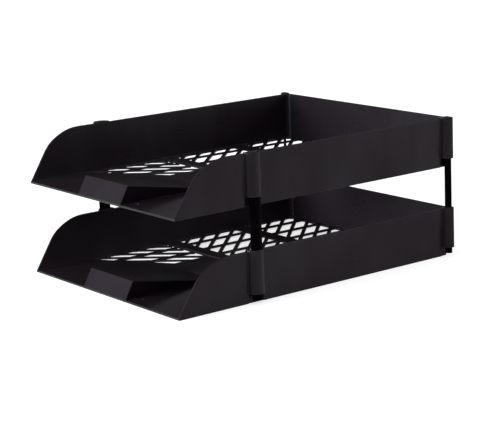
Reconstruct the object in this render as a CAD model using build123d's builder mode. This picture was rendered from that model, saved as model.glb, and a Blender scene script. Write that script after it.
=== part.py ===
"""Two-tier letter tray: two identical moulded trays, one above the other on four steel risers.

The model's origin is under the middle of the stack, on the surface it stands on.
+X is to the right, +Y runs from the open front to the back wall, +Z is up.
"""
from build123d import *
from math import atan, cos, degrees, radians, sin, tan
import os

# Driving dimensions, in millimetres. "Depth" is always counted back from the front lip.
tray_depth = 337.0
base_width = 250.5
wall_height = 50.5
wall = 2.2
draft_angle = 2.0
tier_pitch = 92.0
running_gap = 0.3

# Floor: a thin front zone, one step up to the rear zone, and a rim underneath
front_floor_top = 1.8
rear_floor_top = 2.8
floor_thickness = 1.4
floor_step_depth = 158.0
rim_width = 2.4
recess_half_width = 119.8

# Lattice in the floor. Each section: its first and last depth, the depth where one slanted bar
# meets the side wall, the slanted bars' pitch, and their slope (depth gained per mm towards the wall)
lattice_sections = [
    (65.0, 156.0, 141.3, 22.6, -1.1),
    (172.0, 248.5, 169.5, 20.0, 1.0),
    (265.0, 329.0, 261.0, 20.0, 1.0),
]
lattice_half_width = 122.0
long_bar_pitch = 28.4
long_bar_width = 5.4
slant_bar_width = 5.8
smallest_opening = 12.0
apron_wedge_depth = 117.0

# Wedge in the middle of the front, which carries the label panel
wedge_half_width = 36.6
wedge_foot_depth = 0.5
wedge_ridge_depth = 10.3
wedge_ridge_height = 18.7
wedge_tail_depth = 105.0
wedge_shell = 2.0
wedge_margin = 42.6

# Side wings: the wall's front edge rises in a straight line, then curves into the top edge
wing_line_end = (17.5, 28.5)
wing_curve = [(25.6, 37.9), (38.2, 45.6)]
wing_top_depth = 62.0

# Sleeves outside the side walls, which hold the risers; the rear pair ends flush with the back
sleeve_axis_x = 125.0
sleeve_depths = [88.2, 336.5]
sleeve_radius = 9.0
sleeve_face_x = 125.2
sleeve_bottom = 9.5
sleeve_top = wall_height + 0.8
socket_inner_radius = 5.8
socket_outer_radius = 8.0
socket_half_angle = 65.0
rear_closing_wall = 1.2
notch_half_length = 9.0
notch_back_x = 124.3
groove_place = 86.0
groove_radius = 15.0
groove_depth = 1.0
groove_bottom = 12.0

# Risers: curved steel strips with a small lug that the upper tray sits on
riser_bottom = 3.5
riser_top = tier_pitch + wall_height - 2.0
lug_half_length = 2.5
lug_inner_x = 125.0
lug_height = 8.0
lug_gap = 0.2

# Rounded edges
outer_corner = 2.0
inner_corner = 6.0
rim_round = 0.8
sleeve_round = 0.5
wedge_round = 0.8
pip_radius = 0.8
pip_height = 0.5
pip_place = (46.0, 15.0)

overcut = 5.0
lip_y = -tray_depth / 2
flare = wall_height * tan(radians(draft_angle))
base_depth = tray_depth - flare


def level(height):
    """A horizontal plane whose origin is at the middle of the front lip."""
    return Plane((0, lip_y, height))


def side_view():
    """The upright plane through the middle: local x is depth, local y is height."""
    return Plane(origin=(0, lip_y, 0), x_dir=(0, 1, 0), z_dir=(1, 0, 0))


def lean(height):
    """How far the side and back walls have leaned out at a height."""
    return height * tan(radians(draft_angle))


def plan_outline(half_width, first_depth, last_depth, corner):
    """A rectangle on the depth axis with its two rear corners rounded."""
    with Locations((0, first_depth)):
        Rectangle(2 * half_width, last_depth - first_depth, align=(Align.CENTER, Align.MIN))
    fillet(vertices().group_by(Axis.Y)[-1], corner)


def inner_outline(height, first_depth):
    """The space between the walls at a height."""
    half_width = base_width / 2 - wall + lean(height)
    plan_outline(half_width, first_depth, base_depth - wall + lean(height), inner_corner)


def sleeve_planes(height):
    """One plane at each sleeve's axis, with local x pointing away from the tray."""
    planes = []
    for side in (-1, 1):
        for depth in sleeve_depths:
            planes.append(Plane((side * sleeve_axis_x, lip_y + depth, height), x_dir=(side, 0, 0)))
    return planes


def strip_section(side, depth, gap):
    """The plan of one riser's socket; with a gap, the plan of the riser that slides in it."""
    axis = (side * sleeve_axis_x, depth)
    half_angle = socket_half_angle - degrees(gap / socket_inner_radius)
    first_angle = 90 - 90 * side - half_angle
    with BuildSketch() as strip:
        with BuildLine():
            outer = CenterArc(axis, socket_outer_radius - gap, first_angle, 2 * half_angle)
            inner = CenterArc(axis, socket_inner_radius + gap, first_angle, 2 * half_angle)
            Line(outer @ 0, inner @ 0)
            Line(outer @ 1, inner @ 1)
        make_face()
        with Locations((0, tray_depth - rear_closing_wall - gap)):
            Rectangle(2 * base_width, 4 * sleeve_radius, align=(Align.CENTER, Align.MIN), mode=Mode.SUBTRACT)
    return strip.sketch


def lattice_openings(first, last, wall_depth, pitch, slope):
    """The openings of one lattice section: a rectangle less its long bars and slanted bars."""
    middle = (first + last) / 2
    half_bar = slant_bar_width / 2
    direction = 1 if slope > 0 else -1
    reach = abs(slope) * lattice_half_width
    with BuildSketch() as section:
        with Locations((0, middle)):
            Rectangle(2 * lattice_half_width, last - first)
        for number in range(int(lattice_half_width / long_bar_pitch + 0.5)):
            offset_x = (number + 0.5) * long_bar_pitch
            with Locations((-offset_x, middle), (offset_x, middle)):
                Rectangle(long_bar_width, last - first, mode=Mode.SUBTRACT)
        for number in range(int((last - first + reach) / pitch) + 2):
            at_wall = wall_depth + direction * number * pitch
            at_middle = at_wall - direction * reach
            for side in (-1, 1):
                Polygon(
                    (0, at_middle - half_bar),
                    (side * lattice_half_width, at_wall - half_bar),
                    (side * lattice_half_width, at_wall + half_bar),
                    (0, at_middle + half_bar),
                    align=None,
                    mode=Mode.SUBTRACT,
                )
        # No openings between the wedge and the floor step, nor in the apron in front of the lattice
        Rectangle(2 * wedge_margin, 2 * floor_step_depth, mode=Mode.SUBTRACT)
        Polygon(
            (-lattice_half_width, 0),
            (lattice_half_width, 0),
            (lattice_half_width, lattice_sections[0][0]),
            (wedge_margin, apron_wedge_depth),
            (-wedge_margin, apron_wedge_depth),
            (-lattice_half_width, lattice_sections[0][0]),
            align=None,
            mode=Mode.SUBTRACT,
        )
    return section.sketch.faces().filter_by(lambda face: face.area > smallest_opening)


def wedge_profile(bottom):
    """The wedge seen from the side, carried straight down to a height at or below its base."""
    with BuildSketch() as profile:
        with BuildLine():
            Polyline(
                (wedge_foot_depth, bottom),
                (wedge_foot_depth, front_floor_top),
                (wedge_ridge_depth, wedge_ridge_height),
                (wedge_tail_depth, front_floor_top),
                (wedge_tail_depth, bottom),
                close=True,
            )
        make_face()
    return profile.sketch


with BuildPart() as sleeve:
    # A bulge of one arc, open below and above through its curved socket
    with BuildSketch():
        Circle(sleeve_radius)
        with Locations((sleeve_face_x - sleeve_axis_x, 0)):
            Rectangle(4 * sleeve_radius, 4 * sleeve_radius, align=(Align.MAX, Align.CENTER), mode=Mode.SUBTRACT)
    extrude(amount=sleeve_top - sleeve_bottom)
    top_arc = edges().filter_by(GeomType.CIRCLE).group_by(Axis.Z)[-1]
    fillet(top_arc, sleeve_round)

with BuildPart() as lower_tray:
    # Outer block, wider at the top
    with BuildSketch(level(0)):
        plan_outline(base_width / 2, 0, base_depth, outer_corner)
    with BuildSketch(level(wall_height)):
        plan_outline(base_width / 2 + flare, 0, tray_depth, outer_corner)
    loft()

    # Side wings
    with BuildSketch(side_view()):
        with BuildLine():
            foot = (0, front_floor_top)
            wing_line = Line(foot, wing_line_end)
            top_edge = (wing_top_depth, wall_height)
            Spline(wing_line_end, *wing_curve, top_edge, tangents=[wing_line % 1, (1, 0)])
            Polyline(top_edge, (wing_top_depth, wall_height + overcut), (-overcut, wall_height + overcut),
                     (-overcut, front_floor_top), foot)
        make_face()
    extrude(amount=base_width, both=True, mode=Mode.SUBTRACT)

    # Space between the walls, and the lower front zone of the floor
    with BuildSketch(level(rear_floor_top)):
        inner_outline(rear_floor_top, -overcut)
    with BuildSketch(level(wall_height + overcut)):
        inner_outline(wall_height + overcut, -overcut)
    loft(mode=Mode.SUBTRACT)
    with BuildSketch(level(front_floor_top)):
        with Locations((0, -overcut)):
            Rectangle(base_width - 2 * wall + 2 * lean(front_floor_top), floor_step_depth + overcut,
                      align=(Align.CENTER, Align.MIN))
    extrude(amount=rear_floor_top - front_floor_top, mode=Mode.SUBTRACT)

    # Rounded rim along the top of the walls and down the wings
    rim_faces = faces().filter_by(lambda face: face.normal_at().Z > 0.3 and face.center().Z > wall)
    rim_edges = rim_faces.edges().filter_by(lambda edge: edge.length > 2 * wall)
    fillet(rim_edges.filter_by(lambda edge: edge.center().Z > 2 * wall), rim_round)

    # Sleeves, cut flush with the back, then the notches below them and their curved sockets
    with Locations(*sleeve_planes(sleeve_bottom)):
        add(sleeve.part)
    with Locations((0, lip_y + tray_depth, 0)):
        Box(2 * base_width, 4 * sleeve_radius, 2 * wall_height,
            align=(Align.CENTER, Align.MIN, Align.MIN), mode=Mode.SUBTRACT)
    with Locations(*sleeve_planes(0)):
        with Locations((notch_back_x - sleeve_axis_x, 0, 0)):
            Box(2 * sleeve_radius, 2 * notch_half_length, sleeve_bottom,
                align=(Align.MIN, Align.CENTER, Align.MIN), mode=Mode.SUBTRACT)
    with BuildSketch(level(0)):
        for side in (-1, 1):
            for depth in sleeve_depths:
                add(strip_section(side, depth, 0))
    extrude(amount=2 * wall_height, mode=Mode.SUBTRACT)

    # Shallow hollow inside each side wall behind the front sleeve, fading out downwards
    groove_tilt = atan((lean(wall_height) - lean(groove_bottom) + groove_depth) / (wall_height - groove_bottom))
    groove_planes = []
    for side in (-1, 1):
        groove_x = base_width / 2 - wall + lean(groove_bottom) - groove_radius
        groove_up = (side * sin(groove_tilt), 0, cos(groove_tilt))
        groove_planes.append(Plane((side * groove_x, lip_y + groove_place, groove_bottom), z_dir=groove_up))
    with BuildSketch(*groove_planes):
        Circle(groove_radius)
    extrude(amount=wall_height, mode=Mode.SUBTRACT)

    # Recess under the floor inside the rim
    with BuildSketch(level(0)):
        with Locations((0, rim_width)):
            Rectangle(2 * recess_half_width, floor_step_depth - 2 * rim_width,
                      align=(Align.CENTER, Align.MIN))
    extrude(amount=front_floor_top - floor_thickness, mode=Mode.SUBTRACT)
    with BuildSketch(level(0)):
        with Locations((0, floor_step_depth - rim_width)):
            Rectangle(2 * recess_half_width, base_depth - floor_step_depth - wall,
                      align=(Align.CENTER, Align.MIN))
    extrude(amount=rear_floor_top - floor_thickness, mode=Mode.SUBTRACT)

    # Lattice
    with BuildSketch(level(-overcut)):
        for section in lattice_sections:
            add(lattice_openings(*section))
    extrude(amount=rear_floor_top + 2 * overcut, mode=Mode.SUBTRACT)

    # Wedge, hollow underneath, with rounded ridge and sides
    with BuildSketch(side_view()):
        add(wedge_profile(0))
    extrude(amount=wedge_half_width, both=True)
    wedge_sides = faces().filter_by(Axis.X).filter_by(lambda face: face.area > wall * wedge_tail_depth)
    wedge_sides = wedge_sides.filter_by(lambda face: abs(abs(face.center().X) - wedge_half_width) < 0.01)
    side_edges = wedge_sides.edges().filter_by(lambda edge: edge.center().Z > 2 * front_floor_top)
    ridge_edges = edges().filter_by(Axis.X).filter_by(lambda edge: abs(edge.center().Z - wedge_ridge_height) < 0.01)
    fillet(side_edges + ridge_edges, wedge_round)
    with BuildSketch(side_view()):
        add(wedge_profile(-overcut))
        offset(amount=-wedge_shell, kind=Kind.INTERSECTION)
    extrude(amount=wedge_half_width - wedge_shell, both=True, mode=Mode.SUBTRACT)

    # Pips in the front recesses
    with Locations(*[level(front_floor_top) * Pos(side * pip_place[0], pip_place[1]) for side in (-1, 1)]):
        Cylinder(pip_radius, pip_height, align=(Align.CENTER, Align.CENTER, Align.MIN))

with BuildPart() as upper_tray:
    with Locations((0, 0, tier_pitch)):
        add(lower_tray.part)

os.makedirs("parts", exist_ok=True)
lower_tray.part.label = "lower_tray"
export_step(lower_tray.part, "parts/lower_tray.step")
upper_tray.part.label = "upper_tray"
export_step(upper_tray.part, "parts/upper_tray.step")

riser_places = {
    "riser_front_left": (-1, sleeve_depths[0]),
    "riser_front_right": (1, sleeve_depths[0]),
    "riser_rear_left": (-1, sleeve_depths[1]),
    "riser_rear_right": (1, sleeve_depths[1]),
}
lug_top = tier_pitch + sleeve_bottom - lug_gap
last_lug_depth = tray_depth - rear_closing_wall - running_gap - lug_half_length
for name, (side, depth) in riser_places.items():
    with BuildPart() as riser:
        # The strip, and the lug on its hollow side just below the upper tray's sleeve
        with BuildSketch(level(riser_bottom)):
            add(strip_section(side, depth, running_gap))
        extrude(amount=riser_top - riser_bottom)
        with BuildSketch(level(lug_top - lug_height)):
            with Locations((side * sleeve_axis_x, depth)):
                Circle(socket_inner_radius + running_gap + 0.5)
            with Locations((side * lug_inner_x, min(depth, last_lug_depth))):
                Rectangle(2 * sleeve_radius, 2 * lug_half_length, mode=Mode.INTERSECT,
                          align=(Align.MIN if side > 0 else Align.MAX, Align.CENTER))
        extrude(amount=lug_height)
    riser.part.label = name
    export_step(riser.part, "parts/" + name + ".step")
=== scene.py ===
"""Looks of the two-tier letter tray: satin black moulded plastic trays on black coated steel risers."""
from math import cos, radians, sin

import bpy
from mathutils import Matrix, Vector

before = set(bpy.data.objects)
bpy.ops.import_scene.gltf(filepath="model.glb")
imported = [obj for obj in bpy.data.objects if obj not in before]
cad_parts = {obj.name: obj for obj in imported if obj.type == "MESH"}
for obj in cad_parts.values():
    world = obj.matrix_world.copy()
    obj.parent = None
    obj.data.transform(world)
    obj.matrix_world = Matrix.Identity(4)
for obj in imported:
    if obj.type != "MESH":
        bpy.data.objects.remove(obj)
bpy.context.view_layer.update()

MM = 0.001

# Camera: it stands to the right of the open front and looks slightly down
CAMERA_AZIMUTH = 52.69
CAMERA_ELEVATION = 12.6
CAMERA_ROLL = -2.22
CAMERA_DISTANCE = 1.679
CAMERA_LENS = 119.47
CAMERA_SLIDE = (5.0 * MM, -23.5 * MM)
AIM = Vector((0, 6.5 * MM, 75 * MM))

# Stage: a plain floor that glows a little, so that it stays white, under a soft sky
FLOOR_HALF_SIZE = 14.0
FLOOR_COLOUR = (0.50, 0.50, 0.50, 1)
FLOOR_GLOW = 0.68
FLOOR_ROUGHNESS = 0.9
FLOOR_SHINE = 0.1
WHITE = (1.0, 1.0, 1.0, 1)
SKY_AT_HORIZON = 0.09
SKY_OVERHEAD = 0.52
SKY_FADE = (0.15, 0.65)
KEY_TINT = (0.86, 1.0, 0.97)

# Finishes: a pair of colours gives the ends of a cloudy mix
PLASTIC_COLOUR = (0.0080, 0.0053, 0.0077)
PLASTIC_PALE = (0.0102, 0.0069, 0.0098)
STEEL_COLOUR = (0.0006, 0.0004, 0.0006)
STEEL_PALE = (0.0012, 0.0009, 0.0012)
STEEL_WORN = (0.020, 0.020, 0.021)
# Pale colour of the edge lines: partly rubbed wear, partly a painted highlight along the edges
RUBBED_AND_HIGHLIGHT_COLOUR = (0.085, 0.079, 0.087)
DUST_COLOUR = (0.11, 0.105, 0.10)
PLASTIC_ROUGHNESS = (0.265, 0.325)
STEEL_ROUGHNESS = (0.34, 0.42)
PLASTIC_SHINE = 0.079
PLASTIC_SHINE_SPREAD = (0.82, 1.35)
STEEL_SHINE = 0.008
IOR = 1.5


class Nodes:
    """A material's node tree, with one short call for each kind of node."""

    def __init__(self, name):
        self.material = bpy.data.materials.new(name)
        self.material.use_nodes = True
        self.tree = self.material.node_tree
        self.tree.nodes.clear()
        self.place = self.add("ShaderNodeTexCoord").outputs["Object"]

    def add(self, kind, values=None, **settings):
        node = self.tree.nodes.new(kind)
        for key, value in settings.items():
            setattr(node, key, value)
        for key, value in (values or {}).items():
            self.feed(node.inputs[key], value)
        return node

    def feed(self, socket, value):
        if isinstance(value, bpy.types.NodeSocket):
            self.tree.links.new(value, socket)
        else:
            socket.default_value = value

    def stretch(self, factors):
        """The place, scaled; a factor under 1 draws a pattern out along that axis."""
        return self.add("ShaderNodeMapping", {"Vector": self.place, "Scale": factors}).outputs["Vector"]

    def noise(self, size, detail=3.0, place=None, roughness=0.5):
        values = {"Vector": place or self.place, "Scale": 1 / size}
        values.update({"Detail": detail, "Roughness": roughness})
        return self.add("ShaderNodeTexNoise", values).outputs["Fac"]

    def math(self, operation, a, b=0.0):
        return self.add("ShaderNodeMath", {0: a, 1: b}, operation=operation).outputs[0]

    def fit(self, value, low, high, new_low=0.0, new_high=1.0):
        values = {"Value": value, "From Min": low, "From Max": high}
        values.update({"To Min": new_low, "To Max": new_high})
        return self.add("ShaderNodeMapRange", values, clamp=True).outputs["Result"]

    def mix(self, share, a, b):
        return self.add("ShaderNodeMix", {0: share, 6: a, 7: b}, data_type="RGBA").outputs[2]

    def bump(self, height, depth, normal=None):
        values = {"Height": height, "Distance": depth, "Strength": 1.0}
        if normal is not None:
            values["Normal"] = normal
        return self.add("ShaderNodeBump", values).outputs["Normal"]

    def soft_edges(self, radius):
        """The normal with its edges rounded over, and how near each point is to an edge."""
        rounded = self.add("ShaderNodeBevel", {"Radius": radius}, samples=6).outputs["Normal"]
        flat = self.add("ShaderNodeNewGeometry").outputs["Normal"]
        dot = self.add("ShaderNodeVectorMath", {0: rounded, 1: flat}, operation="DOT_PRODUCT")
        return rounded, self.fit(dot.outputs["Value"], 0.995, 0.80)

    def facing_up(self):
        """1 on surfaces that face up, 0 on steep ones."""
        normal = self.add("ShaderNodeNewGeometry").outputs["Normal"]
        height = self.add("ShaderNodeSeparateXYZ", {0: normal}).outputs["Z"]
        return self.fit(height, 0.6, 0.98)

    def finish(self, values):
        shader = self.add("ShaderNodeBsdfPrincipled", values)
        self.add("ShaderNodeOutputMaterial", {"Surface": shader.outputs["BSDF"]})
        return self.material


def colour(rgb):
    return (*rgb, 1.0)


def moulded_plastic():
    """Satin black polystyrene: fine mould texture, flow marks, haze, rubbed edges that also carry a
    painted edge highlight, and a little dust.
    """
    n = Nodes("moulded_plastic")
    rounded, edge = n.soft_edges(0.6 * MM)
    clouds = n.noise(60 * MM, 4.0)
    flow = n.noise(16 * MM, 3.0, n.stretch((1.0, 0.16, 1.0)))
    scuffs = n.noise(2.5 * MM, 4.0, n.stretch((1.0, 0.07, 1.0)), 0.6)
    grain = n.noise(0.55 * MM, 2.0)
    ripple = n.noise(70 * MM, 1.0)
    specks = n.noise(1.1 * MM, 2.0)
    haze = n.noise(50 * MM, 2.0, n.stretch((1.0, 1.0, 0.45)))
    up = n.facing_up()

    body = n.mix(n.fit(clouds, 0.25, 0.75), colour(PLASTIC_COLOUR), colour(PLASTIC_PALE))
    # Pale lines along the edges: partly rubbed wear, partly a painted highlight where light catches the
    # edges
    rubbed_and_highlight = n.math("MULTIPLY", edge, n.fit(scuffs, 0.35, 0.75, 0.25, 0.9))
    body = n.mix(n.math("MULTIPLY", rubbed_and_highlight, 0.8), body, colour(RUBBED_AND_HIGHLIGHT_COLOUR))
    dust = n.math("MULTIPLY", up, n.fit(specks, 0.62, 0.80, 0.0, 0.05))
    body = n.mix(dust, body, colour(DUST_COLOUR))

    rough = n.math("ADD", n.fit(clouds, 0.3, 0.7, *PLASTIC_ROUGHNESS), n.fit(flow, 0.3, 0.7, -0.02, 0.02))
    rough = n.math("SUBTRACT", rough, n.math("MULTIPLY", up, 0.09))
    rough = n.math("SUBTRACT", rough, n.math("MULTIPLY", rubbed_and_highlight, 0.08))
    rough = n.math("ADD", rough, n.fit(scuffs, 0.40, 0.75, 0.0, 0.018))

    least, most = PLASTIC_SHINE_SPREAD
    shine = n.fit(haze, 0.38, 0.66, least * PLASTIC_SHINE, most * PLASTIC_SHINE)

    normal = n.bump(ripple, 0.35 * MM, rounded)
    normal = n.bump(flow, 0.03 * MM, normal)
    normal = n.bump(grain, 0.02 * MM, normal)
    return n.finish({"Base Color": body, "Roughness": rough, "Normal": normal,
                     "IOR": IOR, "Specular IOR Level": shine})


def coated_steel():
    """Black powder coat on steel strip: slight orange peel, and brighter wear along its edges."""
    n = Nodes("coated_steel")
    rounded, edge = n.soft_edges(0.4 * MM)
    peel = n.noise(1.2 * MM, 1.5)
    clouds = n.noise(20 * MM, 3.0)
    slide_marks = n.noise(1.6 * MM, 4.0, n.stretch((1.0, 1.0, 0.05)), 0.6)

    body = n.mix(n.fit(clouds, 0.35, 0.65), colour(STEEL_COLOUR), colour(STEEL_PALE))
    worn = n.math("MULTIPLY", edge, n.fit(slide_marks, 0.45, 0.70))
    body = n.mix(n.math("MULTIPLY", worn, 0.4), body, colour(STEEL_WORN))

    rough = n.fit(clouds, 0.3, 0.7, *STEEL_ROUGHNESS)
    rough = n.math("ADD", rough, n.fit(slide_marks, 0.55, 0.75, 0.0, 0.08))
    normal = n.bump(peel, 0.02 * MM, rounded)
    normal = n.bump(slide_marks, 0.012 * MM, normal)
    return n.finish({"Base Color": body, "Roughness": rough, "Normal": normal,
                     "IOR": IOR, "Specular IOR Level": STEEL_SHINE})


def dress(node, material):
    mesh = node.data
    mesh.materials.clear()
    mesh.materials.append(material)


def make_floor():
    half = FLOOR_HALF_SIZE
    mesh = bpy.data.meshes.new("floor")
    corners = [(-half, -half, 0), (half, -half, 0), (half, half, 0), (-half, half, 0)]
    mesh.from_pydata(corners, [], [(0, 1, 2, 3)])
    floor = bpy.data.objects.new("floor", mesh)
    bpy.context.scene.collection.objects.link(floor)
    n = Nodes("floor_paper")
    mesh.materials.append(n.finish({"Base Color": FLOOR_COLOUR, "Roughness": FLOOR_ROUGHNESS,
                                    "Specular IOR Level": FLOOR_SHINE, "Emission Color": WHITE,
                                    "Emission Strength": FLOOR_GLOW}))


def make_sky():
    """Soft light from all round, weaker near the horizon than overhead."""
    world = bpy.data.worlds.new("sky")
    bpy.context.scene.world = world
    world.use_nodes = True
    tree = world.node_tree
    background = tree.nodes["Background"]
    background.inputs["Color"].default_value = WHITE
    place = tree.nodes.new("ShaderNodeTexCoord")
    parts = tree.nodes.new("ShaderNodeSeparateXYZ")
    fade = tree.nodes.new("ShaderNodeMapRange")
    fade.inputs["From Min"].default_value, fade.inputs["From Max"].default_value = SKY_FADE
    fade.inputs["To Min"].default_value = SKY_AT_HORIZON
    fade.inputs["To Max"].default_value = SKY_OVERHEAD
    tree.links.new(place.outputs["Generated"], parts.inputs[0])
    tree.links.new(parts.outputs["Z"], fade.inputs["Value"])
    tree.links.new(fade.outputs["Result"], background.inputs["Strength"])


def direction(azimuth, elevation):
    """The way from the object to a place at an azimuth and elevation; azimuth 0 is in front of it."""
    a, e = radians(azimuth), radians(elevation)
    return Vector((sin(a) * cos(e), -cos(a) * cos(e), sin(e)))


def make_light(name, azimuth, elevation, distance, size, power, tint=(1, 1, 1)):
    """A soft rectangular light that faces the object and doesn't show to the camera."""
    data = bpy.data.lights.new(name, "AREA")
    data.shape = "RECTANGLE"
    data.size, data.size_y = size
    data.energy = power
    data.color = tint
    lamp = bpy.data.objects.new(name, data)
    bpy.context.scene.collection.objects.link(lamp)
    back = direction(azimuth, elevation)
    lamp.location = AIM + back * distance
    lamp.rotation_mode = "QUATERNION"
    lamp.rotation_quaternion = (-back).to_track_quat("-Z", "Y")
    lamp.visible_camera = False


def make_sun(azimuth, elevation, spread, strength):
    """Even light from above, over the object and the floor alike."""
    data = bpy.data.lights.new("soft_sun", "SUN")
    data.angle = radians(spread)
    data.energy = strength
    lamp = bpy.data.objects.new("soft_sun", data)
    bpy.context.scene.collection.objects.link(lamp)
    lamp.rotation_mode = "QUATERNION"
    lamp.rotation_quaternion = (-direction(azimuth, elevation)).to_track_quat("-Z", "Y")


def make_camera():
    data = bpy.data.cameras.new("camera")
    data.lens = CAMERA_LENS
    camera = bpy.data.objects.new("camera", data)
    bpy.context.scene.collection.objects.link(camera)
    back = direction(CAMERA_AZIMUTH, CAMERA_ELEVATION)
    level_right = Vector((cos(radians(CAMERA_AZIMUTH)), sin(radians(CAMERA_AZIMUTH)), 0))
    level_up = back.cross(level_right)
    roll = radians(CAMERA_ROLL)
    right = level_right * cos(roll) + level_up * sin(roll)
    up = level_up * cos(roll) - level_right * sin(roll)
    place = AIM + back * CAMERA_DISTANCE + right * CAMERA_SLIDE[0] + up * CAMERA_SLIDE[1]
    turn = Matrix((right, up, back)).transposed().to_4x4()
    camera.matrix_world = Matrix.Translation(place) @ turn
    bpy.context.scene.camera = camera


plastic = moulded_plastic()
steel = coated_steel()
for name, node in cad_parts.items():
    dress(node, steel if name.startswith("riser") else plastic)

make_floor()
make_sky()
make_light("soft_front_left", azimuth=-16, elevation=8, distance=1.7, size=(0.9, 0.55), power=86,
           tint=KEY_TINT)
make_light("soft_right", azimuth=125, elevation=12, distance=1.6, size=(0.9, 0.5), power=10)
make_sun(azimuth=20, elevation=72, spread=60, strength=0.9)
make_camera()
bpy.context.scene.view_settings.view_transform = "Standard"
